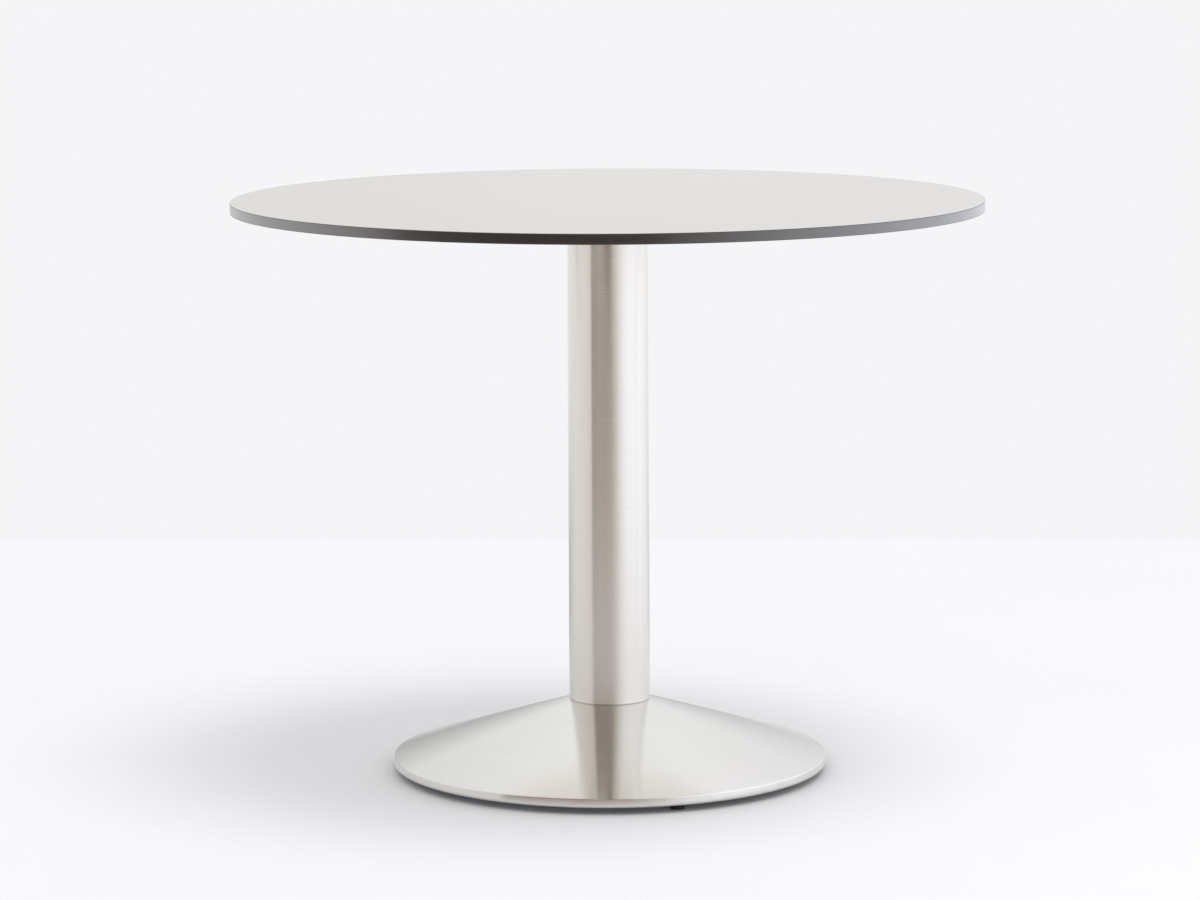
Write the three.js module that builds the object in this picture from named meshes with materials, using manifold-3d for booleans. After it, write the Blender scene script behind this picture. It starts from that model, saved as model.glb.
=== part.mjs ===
// A round bistro table: a compact-laminate top on one steel column, held down by a cast ballast
// that hides under a spun steel cone. Millimetres, +Z up, origin on the floor under the column.
// The board is bonded from three plies, the top frame is welded, and one tie rod clamps the frame,
// the column, the cone and the ballast together. Four feet screw up and down in the ballast.

import * as THREE from 'three';
import { mergeVertices } from 'three/addons/utils/BufferGeometryUtils.js';
import Module from 'manifold-3d';

const wasm = await Module();
wasm.setup();

// Overall sizes
const tableHeight = 740;
const topDiameter = 960;
const baseDiameter = 560;

// Board of the top: a black core between a decor sheet and a thinner backing sheet
const coreThickness = 11.8;
const decorThickness = 0.8;
const backingThickness = 0.4;

// Frame welded under the board
const hubPlateWidth = 150;
const hubPlateThickness = 8;
const hubCornerCut = 30;
const armReach = 360;
const armWidth = 40;
const armThickness = 6;

// Screws that hold the board, two on each arm, and the brass inserts that they turn in
const screwDiameter = 6;
const screwHeadDiameter = 12;
const screwHeadHeight = 3.5;
const outerScrewInset = 20;
const innerScrewRadius = 150;
const insertDiameter = 9;
const insertLength = 8.5;
const insertPocketGap = 0.5;
const screwTipInset = 0.5;

// Column
const columnDiameter = 104;
const columnWall = 2;
const centringDiscThickness = 10;

// Tie rod and what it pulls on
const rodDiameter = 12;
const rodTail = 8;
const nutAcrossFlats = 19;
const nutHeight = 10;
const washerDiameter = 40;
const washerThickness = 4;

// Spun cover of the base: seat under the column, cone, creased rim and an edge curled under
const coverSheet = 1.2;
const coverSlope = THREE.MathUtils.degToRad(17.6);
const coverSeatMargin = 1;
const coverHoleDiameter = 40;
const coverRimHeight = 12;
const coverCreaseRadius = 2.2;
const coverCurlRadius = 4;
const coverFloorGap = 8.5;

// Cast ballast: a heavy ring under the rim, a web, and a hollow pedestal under the column
const ballastFloorGap = 10;
const ballastEdgeInset = 8;
const ballastRingWidth = 45;
const ballastWebThickness = 10;
const pedestalWall = 14;
const pedestalDraft = 10;
const pedestalTopThickness = 10;

// Levelling feet
const footCount = 4;
const footRimInset = 25;
const footBearing = THREE.MathUtils.degToRad(-71);
const studDiameter = 8;
const studNeckDiameter = 6;
const studCollarAcrossFlats = 13;
const studCollarHeight = 3;
const padDiameter = 18;
const padTopDiameter = 15;
const padEdgeHeight = 3;
const padFloorThickness = 3;

// Clearances
const threadClearance = 0.25;
const slipClearance = 0.4;
const seatClearance = 0.3;
const castingClearance = 0.6;
const studTipClearance = 0.8;

// Facets of a full turn, and steps along an arc of an outline
const largeTurn = 96;
const columnTurn = 64;
const smallTurn = 16;
const arcSteps = 4;

// How far a piece that is cut or joined runs past the face that it meets
const overrun = 1;

const quarterTurn = Math.PI / 2;

// Heights and radii that follow from the sizes above
const boardThickness = decorThickness + coreThickness + backingThickness;
const boardUnderside = tableHeight - boardThickness;
const coreUnderside = boardUnderside + backingThickness;
const hubUnderside = boardUnderside - hubPlateThickness;
const armUnderside = boardUnderside - armThickness;
const screwLength = armThickness + insertLength - screwTipInset;
const insertPocketDepth = insertLength + insertPocketGap;
const rimRadius = baseDiameter / 2;
const footCircleRadius = rimRadius - footRimInset;
const creaseCentre = {
  r: rimRadius - coverCreaseRadius,
  z: coverFloorGap + coverRimHeight - coverCreaseRadius * Math.cos(coverSlope),
};
const curlCentre = { r: rimRadius - coverCurlRadius, z: coverFloorGap + coverCurlRadius };
const seatRadius = columnDiameter / 2 + coverSeatMargin;
const columnFoot = coverOuterHeight(seatRadius);
const pedestalTop = columnFoot - coverSheet;
const anchorNutTop = hubUnderside - centringDiscThickness;
const washerTop = pedestalTop - pedestalTopThickness;
const nutTop = washerTop - washerThickness;
const boreRadius = rodDiameter / 2 + slipClearance;

// Height of the cone's outer face at a radius: the straight line that leaves the crease's round.
function coverOuterHeight(radius) {
  const lineRadius = creaseCentre.r + coverCreaseRadius * Math.sin(coverSlope);
  const lineHeight = creaseCentre.z + coverCreaseRadius * Math.cos(coverSlope);
  return lineHeight + (lineRadius - radius) * Math.tan(coverSlope);
}

// Height of the cone's inner face at a radius.
function coverInnerHeight(radius) {
  return coverOuterHeight(radius) - coverSheet / Math.cos(coverSlope);
}

// Points of an arc in the radius-height plane, from one bearing to the other.
function arc(centre, radius, start, end) {
  const points = [];
  for (let step = 0; step <= arcSteps; step += 1) {
    const bearing = start + ((end - start) * step) / arcSteps;
    points.push([centre.r + radius * Math.cos(bearing), centre.z + radius * Math.sin(bearing)]);
  }
  return points;
}

// A turned piece from its [radius, height] outline, which runs upwards along the outside.
function turned(outline, facets) {
  const points = outline.map(([radius, height]) => new THREE.Vector2(radius, height));
  return new THREE.LatheGeometry(points, facets).rotateX(quarterTurn);
}

// A turned piece whose outline closes on itself clear of the axis.
function turnedRing(outline, facets) {
  return turned([...outline, outline[0]], facets);
}

function cylinder(diameter, bottom, top, facets) {
  const radius = diameter / 2;
  return turned([[0, bottom], [radius, bottom], [radius, top], [0, top]], facets);
}

function pipe(outerDiameter, innerDiameter, bottom, top, facets) {
  const outer = outerDiameter / 2;
  const inner = innerDiameter / 2;
  return turnedRing([[inner, bottom], [outer, bottom], [outer, top], [inner, top]], facets);
}

// A flat plate of a drawn outline, from its lower face up.
function plate(shape, bottom, thickness) {
  const settings = { depth: thickness, bevelEnabled: false, curveSegments: smallTurn };
  return new THREE.ExtrudeGeometry(shape, settings).translate(0, 0, bottom);
}

function roundHole(x, y, radius) {
  return new THREE.Path().absarc(x, y, radius, 0, 2 * Math.PI, true);
}

function hexagon(acrossFlats) {
  const corners = [];
  const cornerRadius = acrossFlats / Math.sqrt(3);
  for (let corner = 0; corner < 6; corner += 1) {
    const bearing = (corner * Math.PI) / 3;
    corners.push(new THREE.Vector2(Math.cos(bearing), Math.sin(bearing)).multiplyScalar(cornerRadius));
  }
  return new THREE.Shape(corners);
}

// The closed solid that a geometry bounds, for joining and cutting.
function solidOf(geometry) {
  const bare = geometry.clone();
  bare.deleteAttribute('normal');
  bare.deleteAttribute('uv');
  const welded = mergeVertices(bare);
  const corners = welded.index.array;
  const kept = [];
  for (let first = 0; first < corners.length; first += 3) {
    const [a, b, c] = corners.slice(first, first + 3);
    if (a !== b && b !== c && c !== a) kept.push(a, b, c);
  }
  const vertProperties = new Float32Array(welded.attributes.position.array);
  return new wasm.Manifold(new wasm.Mesh({ numProp: 3, vertProperties, triVerts: new Uint32Array(kept) }));
}

function geometryOf(solid) {
  const mesh = solid.getMesh();
  const geometry = new THREE.BufferGeometry();
  geometry.setAttribute('position', new THREE.BufferAttribute(mesh.vertProperties, 3));
  geometry.setIndex(new THREE.BufferAttribute(mesh.triVerts, 1));
  return geometry;
}

// A piece with others cut away from it.
function cutAway(geometry, cutters) {
  const remaining = cutters.reduce((solid, cutter) => solid.subtract(solidOf(cutter)), solidOf(geometry));
  return geometryOf(remaining);
}

// A piece with another one joined to it.
function joined(geometry, addition) {
  return geometryOf(solidOf(geometry).add(solidOf(addition)));
}

const table = new THREE.Group();

function addPiece(name, geometry, [color, roughness, metalness], parent = table) {
  const material = new THREE.MeshStandardMaterial({ color, roughness, metalness });
  const piece = new THREE.Mesh(geometry, material);
  piece.name = name;
  parent.add(piece);
  return piece;
}

// Finishes: colour, roughness, metalness
const greyDecor = [0xdedbd6, 0.55, 0];
const blackCore = [0x2b2624, 0.5, 0];
const brass = [0xb8954e, 0.35, 1];
const zincSteel = [0xb9bcbf, 0.35, 1];
const blackPaint = [0x1f2022, 0.5, 0.3];
const brushedSteel = [0xd2cfca, 0.3, 1];
const castIron = [0x3a3b3d, 0.7, 0.6];
const blackNylon = [0x17181a, 0.55, 0];

// Where the board is screwed down: an outer and an inner screw on each of the four arms
function screwPlaces() {
  const places = [];
  for (let quarter = 0; quarter < 4; quarter += 1) {
    for (const radius of [armReach - outerScrewInset, innerScrewRadius]) {
      const bearing = quarter * quarterTurn;
      places.push({ x: radius * Math.cos(bearing), y: radius * Math.sin(bearing) });
    }
  }
  return places;
}

function addBoard() {
  const pocketDiameter = insertDiameter + 2 * threadClearance;
  const pocketEnd = boardUnderside + insertPocketDepth;
  const pockets = screwPlaces().map(({ x, y }) =>
    cylinder(pocketDiameter, boardUnderside - overrun, pocketEnd, smallTurn).translate(x, y, 0));
  const coreTop = coreUnderside + coreThickness;
  const core = cylinder(topDiameter, coreUnderside, coreTop, largeTurn);
  const lowerSheet = cylinder(topDiameter, boardUnderside, coreUnderside, largeTurn);
  addPiece('top_decor_sheet', cylinder(topDiameter, coreTop, tableHeight, largeTurn), greyDecor);
  addPiece('tabletop_core', cutAway(core, pockets), blackCore);
  addPiece('underside_decor_sheet', cutAway(lowerSheet, pockets), greyDecor);
}

function addBoardFixings() {
  const insertTop = boardUnderside + insertLength;
  const insertBore = screwDiameter + 2 * threadClearance;
  const shank = cylinder(screwDiameter, armUnderside - overrun, armUnderside + screwLength, smallTurn);
  const head = cylinder(screwHeadDiameter, armUnderside - screwHeadHeight, armUnderside, smallTurn);
  screwPlaces().forEach(({ x, y }, index) => {
    const insert = pipe(insertDiameter, insertBore, boardUnderside, insertTop, smallTurn);
    addPiece(`threaded_insert_${index + 1}`, insert, brass).position.set(x, y, 0);
    addPiece(`top_screw_${index + 1}`, joined(shank, head), zincSteel).position.set(x, y, 0);
  });
}

// Square plate with its corners cut off: an arm butts on each long side.
function addHubPlate() {
  const half = hubPlateWidth / 2;
  const short = half - hubCornerCut;
  const corners = [];
  for (let quarter = 0; quarter < 4; quarter += 1) {
    const turn = quarter * quarterTurn;
    corners.push(new THREE.Vector2(half, -short).rotateAround(new THREE.Vector2(), turn));
    corners.push(new THREE.Vector2(half, short).rotateAround(new THREE.Vector2(), turn));
  }
  addPiece('hub_plate', plate(new THREE.Shape(corners), hubUnderside, hubPlateThickness), blackPaint);
}

// Flat bar with a round tip and its two screw holes
function addSupportArms() {
  const halfWidth = armWidth / 2;
  const tipCentre = armReach - halfWidth;
  const outline = new THREE.Shape();
  outline.moveTo(hubPlateWidth / 2, -halfWidth);
  outline.lineTo(tipCentre, -halfWidth);
  outline.absarc(tipCentre, 0, halfWidth, -quarterTurn, quarterTurn, false);
  outline.lineTo(hubPlateWidth / 2, halfWidth);
  const holeRadius = screwDiameter / 2 + slipClearance;
  outline.holes.push(roundHole(armReach - outerScrewInset, 0, holeRadius));
  outline.holes.push(roundHole(innerScrewRadius, 0, holeRadius));
  for (let quarter = 0; quarter < 4; quarter += 1) {
    const bar = plate(outline, armUnderside, armThickness);
    addPiece(`support_arm_${quarter + 1}`, bar, blackPaint).rotation.z = quarter * quarterTurn;
  }
}

function addColumn() {
  const boreDiameter = columnDiameter - 2 * columnWall;
  const discDiameter = boreDiameter - 2 * slipClearance;
  const tube = pipe(columnDiameter, boreDiameter, columnFoot, hubUnderside, columnTurn);
  const upperDisc = pipe(discDiameter, 2 * boreRadius, anchorNutTop, hubUnderside, columnTurn);
  const discTop = columnFoot + centringDiscThickness;
  const lowerDisc = pipe(discDiameter, 2 * boreRadius, columnFoot, discTop, columnTurn);
  addPiece('column_tube', tube, brushedSteel);
  addPiece('upper_centring_disc', upperDisc, zincSteel);
  addPiece('lower_centring_disc', lowerDisc, zincSteel);
}

// The rod turns into the anchor nut above and is drawn down by the nut and washer below.
function addTieRod() {
  const nutShape = hexagon(nutAcrossFlats);
  nutShape.holes.push(roundHole(0, 0, rodDiameter / 2 + threadClearance));
  const rodTop = anchorNutTop + centringDiscThickness - slipClearance;
  const rodBottom = nutTop - nutHeight - rodTail;
  const washer = pipe(washerDiameter, 2 * boreRadius, nutTop, washerTop, smallTurn);
  addPiece('anchor_nut', plate(nutShape, anchorNutTop - nutHeight, nutHeight), zincSteel);
  addPiece('tie_rod', cylinder(rodDiameter, rodBottom, rodTop, smallTurn), zincSteel);
  addPiece('tie_rod_washer', washer, zincSteel);
  addPiece('tie_rod_nut', plate(nutShape, nutTop - nutHeight, nutHeight), zincSteel);
}

// One sheet all the way: curl, rim, crease, cone and the flat seat that the column stands on
function addBaseCover() {
  const normal = quarterTurn - coverSlope;
  const hole = coverHoleDiameter / 2;
  const outer = [
    ...arc(curlCentre, coverCurlRadius, -quarterTurn, 0),
    ...arc(creaseCentre, coverCreaseRadius, 0, normal),
    [seatRadius, columnFoot],
    [hole, columnFoot],
  ];
  const innerSeatRadius = seatRadius - coverSheet * Math.tan(coverSlope / 2);
  const inner = [
    [hole, columnFoot - coverSheet],
    [innerSeatRadius, columnFoot - coverSheet],
    ...arc(creaseCentre, coverCreaseRadius - coverSheet, normal, 0),
    ...arc(curlCentre, coverCurlRadius - coverSheet, 0, -quarterTurn),
  ];
  addPiece('base_cover', turnedRing([...outer, ...inner], largeTurn), brushedSteel);
}

// Where the feet stand
function footPlaces() {
  const places = [];
  for (let foot = 0; foot < footCount; foot += 1) {
    const bearing = footBearing + (foot * 2 * Math.PI) / footCount;
    places.push({ x: footCircleRadius * Math.cos(bearing), y: footCircleRadius * Math.sin(bearing) });
  }
  return places;
}

// One casting. Its ring follows the inside of the cone, and its underside is hollow at the pedestal.
function addBallast() {
  const edge = rimRadius - ballastEdgeInset;
  const ringInside = edge - ballastRingWidth;
  const ringTop = (radius) => coverInnerHeight(radius) - castingClearance;
  const webTop = ballastFloorGap + ballastWebThickness;
  const pedestal = columnDiameter / 2;
  const pedestalFoot = pedestal + pedestalDraft;
  const spigot = coverHoleDiameter / 2 - slipClearance;
  const body = turnedRing([
    [pedestalFoot - pedestalWall, ballastFloorGap],
    [edge, ballastFloorGap],
    [edge, ringTop(edge)],
    [ringInside, ringTop(ringInside)],
    [ringInside, webTop],
    [pedestalFoot, webTop],
    [pedestal, pedestalTop],
    [spigot, pedestalTop],
    [spigot, columnFoot - seatClearance],
    [boreRadius, columnFoot - seatClearance],
    [boreRadius, washerTop],
    [pedestal - pedestalWall, washerTop],
  ], largeTurn);
  const holeDiameter = studDiameter + 2 * threadClearance;
  const holes = footPlaces().map(({ x, y }) =>
    cylinder(holeDiameter, 0, coverOuterHeight(ringInside), smallTurn).translate(x, y, 0));
  addPiece('ballast_plate', cutAway(body, holes), castIron);
}

// A nylon pad with a socket, and the stud that turns in it. The stud's tip stays under the cone.
function addFeet() {
  const studRadius = studDiameter / 2;
  const studTop = coverInnerHeight(footCircleRadius + studRadius) - studTipClearance;
  const collarTop = ballastFloorGap - seatClearance;
  const collarBottom = collarTop - studCollarHeight;
  const padTop = collarBottom - seatClearance;
  const neck = cylinder(studNeckDiameter, padFloorThickness + seatClearance, collarTop, smallTurn);
  const collar = plate(hexagon(studCollarAcrossFlats), collarBottom, studCollarHeight);
  const thread = cylinder(studDiameter, collarTop - overrun, studTop, smallTurn);
  const socketRadius = studNeckDiameter / 2 + slipClearance;
  const pad = turned([
    [0, 0],
    [padDiameter / 2, 0],
    [padDiameter / 2, padEdgeHeight],
    [padTopDiameter / 2, padTop],
    [socketRadius, padTop],
    [socketRadius, padFloorThickness],
    [0, padFloorThickness],
  ], smallTurn);
  const stud = joined(joined(neck, collar), thread);
  footPlaces().forEach(({ x, y }, index) => {
    addPiece(`levelling_pad_${index + 1}`, pad, blackNylon).position.set(x, y, 0);
    addPiece(`levelling_stud_${index + 1}`, stud, zincSteel).position.set(x, y, 0);
  });
}

addBoard();
addBoardFixings();
addHubPlate();
addSupportArms();
addColumn();
addTieRod();
addBaseCover();
addBallast();
addFeet();

export default table;
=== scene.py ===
# %% [markdown]
# # A round bistro table
# A pale laminate board with a black core stands on one brushed steel column. A spun steel cone
# hides the cast ballast that keeps the table upright, and four small feet level it.
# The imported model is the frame: every piece here takes its place and size from it.

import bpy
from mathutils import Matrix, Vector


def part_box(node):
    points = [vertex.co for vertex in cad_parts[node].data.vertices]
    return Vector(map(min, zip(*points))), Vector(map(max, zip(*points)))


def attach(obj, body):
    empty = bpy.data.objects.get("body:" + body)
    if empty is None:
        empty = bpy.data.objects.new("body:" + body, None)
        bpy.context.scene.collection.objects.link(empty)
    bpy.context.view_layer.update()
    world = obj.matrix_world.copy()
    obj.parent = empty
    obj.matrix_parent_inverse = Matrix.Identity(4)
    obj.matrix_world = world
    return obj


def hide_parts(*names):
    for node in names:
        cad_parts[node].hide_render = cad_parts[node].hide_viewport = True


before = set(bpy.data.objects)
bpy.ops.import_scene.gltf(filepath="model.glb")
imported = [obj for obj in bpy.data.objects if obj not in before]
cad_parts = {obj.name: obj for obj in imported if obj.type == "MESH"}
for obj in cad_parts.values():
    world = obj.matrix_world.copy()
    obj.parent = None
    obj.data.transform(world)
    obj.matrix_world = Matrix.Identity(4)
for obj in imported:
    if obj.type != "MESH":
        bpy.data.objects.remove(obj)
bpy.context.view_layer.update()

# %% Tools and units
import math

import bmesh
import bpy
from mathutils import Euler, Matrix, Vector

MM = 0.001
FULL_TURN = 2 * math.pi
QUARTER_TURN = math.pi / 2
feet = range(1, 5)
arms = range(1, 5)
screws = range(1, 9)

# %% [markdown]
# ## How the light shows
# The plain display curve keeps the pale studio pale. A filmic curve would grey the white wall.

# %% Plain display curve
scene = bpy.context.scene
scene.view_settings.view_transform = "Standard"
scene.view_settings.look = "None"
print("display curve:", scene.view_settings.view_transform)

# %% [markdown]
# ## Turning a piece
# Most of this table is turned, spun or drawn round: board, column, cone, feet, nuts and screws.
# A screw modifier could spin a drawn line, but a hexagon, a socket or a thread is not the same
# all the way round. So one helper walks round the axis and asks for the outline at each bearing.

# %% Walk an outline round the axis
def spin(outline_at, steps, closed):
    """A bmesh from outline_at(bearing), a list of (radius, height) that rises along the outside."""
    bm = bmesh.new()
    rows = []
    for step in range(steps):
        bearing = FULL_TURN * step / steps
        row = []
        for index, (radius, height) in enumerate(outline_at(bearing)):
            if radius == 0 and rows:
                row.append(rows[0][index])
            else:
                x, y = radius * math.cos(bearing), radius * math.sin(bearing)
                row.append(bm.verts.new((x, y, height)))
        rows.append(row)
    count = len(rows[0])
    for step, row in enumerate(rows):
        beside = rows[(step + 1) % steps]
        for index in range(count if closed else count - 1):
            after = (index + 1) % count
            corners = []
            for corner in (row[index], beside[index], beside[after], row[after]):
                if corner not in corners:
                    corners.append(corner)
            bm.faces.new(corners)
    return bm


# %% Ease the corners of an outline
SIDE_SHARE = 0.45


def eased(outline, radius, steps=4):
    """The outline with its corners rounded, apart from its two ends and those on the axis.

    No corner takes more than SIDE_SHARE of a side, so that neighbours never meet.
    """
    points = []
    for index, here in enumerate(outline):
        if index in (0, len(outline) - 1) or here[0] == 0:
            points.append(here)
            continue
        corner = Vector(here)
        back = Vector(outline[index - 1]) - corner
        ahead = Vector(outline[index + 1]) - corner
        bend = back.angle(ahead)
        longest = SIDE_SHARE * back.length, SIDE_SHARE * ahead.length
        reach = min(radius / math.tan(bend / 2), *longest)
        start = corner + back.normalized() * reach
        end = corner + ahead.normalized() * reach
        for step in range(steps + 1):
            t = step / steps
            at = start * (1 - t) ** 2 + corner * 2 * t * (1 - t) + end * t ** 2
            points.append((at.x, at.y))
    return points


# %% Draw an arc for an outline
def arc(centre, radius, start, end, steps):
    """Points along an arc in the plane of radius and height."""
    points = []
    for step in range(steps + 1):
        bearing = start + (end - start) * step / steps
        points.append((centre[0] + radius * math.cos(bearing), centre[1] + radius * math.sin(bearing)))
    return points


# %% Finish a mesh as a named piece
SHARP_ANGLE = math.radians(32)


def object_from(bm, name):
    """Turns a bmesh into an object of that name in the scene."""
    mesh = bpy.data.meshes.new(name)
    bm.to_mesh(mesh)
    bm.free()
    thing = bpy.data.objects.new(name, mesh)
    scene.collection.objects.link(thing)
    return thing


def piece_from(bm, name, body, node, material, place=(0, 0)):
    """Turns a bmesh into a piece that rides on a body and stands for a node of the frame."""
    bmesh.ops.translate(bm, verts=bm.verts, vec=(*place, 0))
    piece = object_from(bm, name)
    mesh = piece.data
    mesh.shade_smooth()
    mesh.set_sharp_from_angle(angle=SHARP_ANGLE)
    mesh.materials.append(material)
    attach(piece, body)
    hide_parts(node)
    print(f"{name}: {len(mesh.polygons)} faces")
    return piece


def turned(name, outline, node, material, steps, closed=True, body="table", place=(0, 0)):
    """A piece whose outline is the same at every bearing."""
    bm = spin(lambda bearing: outline, steps, closed)
    return piece_from(bm, name, body, node, material, place)


# %% [markdown]
# ## Building a finish
# A finish is a small node tree round one Principled shader. A few helpers keep the trees short:
# feed links or sets one socket, and the rest place a node and feed it.

# %% Place and wire nodes
def feed(tree, socket, value):
    """Links another node's output to a socket, or sets the socket to a plain value."""
    if isinstance(value, bpy.types.NodeSocket):
        tree.links.new(value, socket)
    else:
        socket.default_value = value


def place_node(tree, kind, values=None, **settings):
    node = tree.nodes.new(kind)
    for name, value in settings.items():
        setattr(node, name, value)
    for name, value in (values or {}).items():
        feed(tree, node.inputs[name], value)
    return node


def maths(tree, operation, first, second=0.0):
    node = tree.nodes.new("ShaderNodeMath")
    node.operation = operation
    for socket, value in zip(node.inputs, (first, second)):
        feed(tree, socket, value)
    return node.outputs[0]


def blend_colours(tree, mask, first, second):
    """first where the mask is 0, second where it is 1."""
    node = tree.nodes.new("ShaderNodeMix")
    node.data_type = "RGBA"
    for socket, value in ((node.inputs[0], mask), (node.inputs[6], first), (node.inputs[7], second)):
        feed(tree, socket, value)
    return node.outputs[2]


def stretch(tree, value, start, end, low=0.0, high=1.0):
    """low where the value is at start or before, high at end or past it, and even between."""
    node = place_node(
        tree, "ShaderNodeMapRange",
        {"Value": value, "From Min": start, "From Max": end, "To Min": low, "To Max": high},
    )
    return node.outputs["Result"]


def between(tree, mask, low, high):
    """A mask from 0 to 1 turned into a value from low to high."""
    return stretch(tree, mask, 0.0, 1.0, low, high)


def noise(tree, spot, scale, detail=2.0, roughness=0.5):
    """A soft cloud that changes over the piece, from 0 to 1."""
    node = place_node(
        tree, "ShaderNodeTexNoise",
        {"Vector": spot, "Scale": scale, "Detail": detail, "Roughness": roughness},
    )
    return node.outputs["Fac"]


def paint(red, green, blue):
    """A display colour, each channel from 0 to 255, as the linear colour that a shader takes."""
    linear = []
    for channel in (red, green, blue):
        share = channel / 255
        linear.append(share / 12.92 if share < 0.04045 else ((share + 0.055) / 1.055) ** 2.4)
    return (*linear, 1.0)


def new_finish(name, **constants):
    material = bpy.data.materials.new(name)
    material.use_nodes = True
    shader = material.node_tree.nodes["Principled BSDF"]
    for socket, value in constants.items():
        shader.inputs[socket.replace("_", " ")].default_value = value
    return material, material.node_tree, shader


def bump(tree, shader, height, distance):
    """Feeds a height from 0 to 1, which stands for that distance, to the shader's normal."""
    node = place_node(tree, "ShaderNodeBump", {"Height": height, "Distance": distance, "Strength": 1.0})
    tree.links.new(node.outputs["Normal"], shader.inputs["Normal"])


# %% Start a shared effect
def new_effect(name, inputs, outputs):
    """A shader node group with named value or vector inputs and named value outputs."""
    tree = bpy.data.node_groups.new(name, "ShaderNodeTree")
    for label, value in inputs.items():
        kind = "NodeSocketVector" if isinstance(value, tuple) else "NodeSocketFloat"
        socket = tree.interface.new_socket(label, in_out="INPUT", socket_type=kind)
        socket.default_value = value
    for label in outputs:
        tree.interface.new_socket(label, in_out="OUTPUT", socket_type="NodeSocketFloat")
    entry = tree.nodes.new("NodeGroupInput")
    result = tree.nodes.new("NodeGroupOutput")
    return tree, entry.outputs, result.inputs


def use_effect(tree, effect, **values):
    node = tree.nodes.new("ShaderNodeGroup")
    node.node_tree = effect
    for name, value in values.items():
        feed(tree, node.inputs[name.replace("_", " ")], value)
    return node.outputs


def spot_on(tree):
    """Where a point lies on the piece, in metres, whatever pose the piece is in."""
    return tree.nodes.new("ShaderNodeTexCoord").outputs["Object"]


def split_place(tree, spot):
    """A place as its height and its position seen from above."""
    parts = place_node(tree, "ShaderNodeSeparateXYZ", {"Vector": spot}).outputs
    flat = place_node(tree, "ShaderNodeCombineXYZ", {"X": parts["X"], "Y": parts["Y"]})
    return parts["Z"], flat.outputs[0]


def radius_of(tree, flat):
    """How far a position seen from above is from the axis."""
    return place_node(tree, "ShaderNodeVectorMath", {0: flat}, operation="LENGTH").outputs["Value"]


# %% [markdown]
# ## Brushing
# The column and the cone are brushed as they spin, so the scratches run round the axis. On the
# column they change with the height, and on the cone with the radius. The effect takes that one
# measure as Across, and draws long thin lines that only waver slowly along their length.

# %% Effect: brushed lines
BAND_DENSITY = 0.12
LINE_CONTRAST = (0.3, 0.7)

brushed_lines, entry, result = new_effect(
    "brushed_lines",
    {"Across": 0.0, "Around": (0.0, 0.0, 0.0), "Lines Per Metre": 1500.0, "Waver": 6.0},
    ["Line", "Band"],
)
around = place_node(brushed_lines, "ShaderNodeSeparateXYZ", {"Vector": entry["Around"]})
for label, share in (("Line", 1.0), ("Band", BAND_DENSITY)):
    density = maths(brushed_lines, "MULTIPLY", entry["Lines Per Metre"], share)
    across = maths(brushed_lines, "MULTIPLY", entry["Across"], density)
    drift_x = maths(brushed_lines, "MULTIPLY", around.outputs["X"], entry["Waver"])
    drift_y = maths(brushed_lines, "MULTIPLY", around.outputs["Y"], entry["Waver"])
    on_line = place_node(
        brushed_lines, "ShaderNodeCombineXYZ", {"X": across, "Y": drift_x, "Z": drift_y},
    )
    line = noise(brushed_lines, on_line.outputs[0], 1.0, detail=1.0)
    brushed_lines.links.new(stretch(brushed_lines, line, *LINE_CONTRAST), result[label])
print("brushed_lines:", len(brushed_lines.nodes), "nodes")

# %% [markdown]
# ## Handling and dust
# A finish that is the same everywhere looks like plastic. Hands and cloths leave broad smears,
# and dust settles as fine specks. Both are masks that nudge a colour or a roughness.

# %% Effect: smears and specks
CLOUD_ROUGHNESS = 0.55

handling, entry, result = new_effect(
    "handling",
    {"Position": (0.0, 0.0, 0.0), "Smear Size": 0.12, "Speck Size": 0.0012},
    ["Smear", "Speck"],
)
for label, size, detail, low, high in (
    ("Smear", "Smear Size", 4.0, 0.35, 0.7),
    ("Speck", "Speck Size", 1.0, 0.6, 0.78),
):
    scale = maths(handling, "DIVIDE", 1.0, entry[size])
    cloud = noise(handling, entry["Position"], scale, detail, CLOUD_ROUGHNESS)
    handling.links.new(stretch(handling, cloud, low, high), result[label])
print("handling:", len(handling.nodes), "nodes")

# %% [markdown]
# ## Worn edges
# Paint and plating thin out where two faces meet. Pointiness is high on such an edge, and a
# little noise breaks the line up, so that the wear looks knocked and not drawn.

# %% Effect: worn edges
WEAR_START = 0.53
WEAR_SPREAD = 0.05
WEAR_BREAKUP = 0.08

worn_edges, entry, result = new_effect(
    "worn_edges",
    {"Position": (0.0, 0.0, 0.0), "Start": WEAR_START, "Patch Size": 0.004},
    ["Wear"],
)
point = worn_edges.nodes.new("ShaderNodeNewGeometry").outputs["Pointiness"]
patch_scale = maths(worn_edges, "DIVIDE", 1.0, entry["Patch Size"])
patch = noise(worn_edges, entry["Position"], patch_scale, detail=3.0)
uneven = maths(worn_edges, "MULTIPLY", maths(worn_edges, "SUBTRACT", patch, 0.5), WEAR_BREAKUP)
edge = maths(worn_edges, "SUBTRACT", maths(worn_edges, "ADD", point, uneven), entry["Start"])
worn_edges.links.new(stretch(worn_edges, edge, 0.0, WEAR_SPREAD), result["Wear"])
print("worn_edges:", len(worn_edges.nodes), "nodes")

# %% [markdown]
# ## Brushed stainless steel
# Fine scratches spread a reflection across themselves and leave it sharp along themselves. That
# is why the column shows crisp upright bands. The shader does it with anisotropy: its tangent
# runs round the axis, and a quarter turn sets the wide spread across the scratches.

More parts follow.
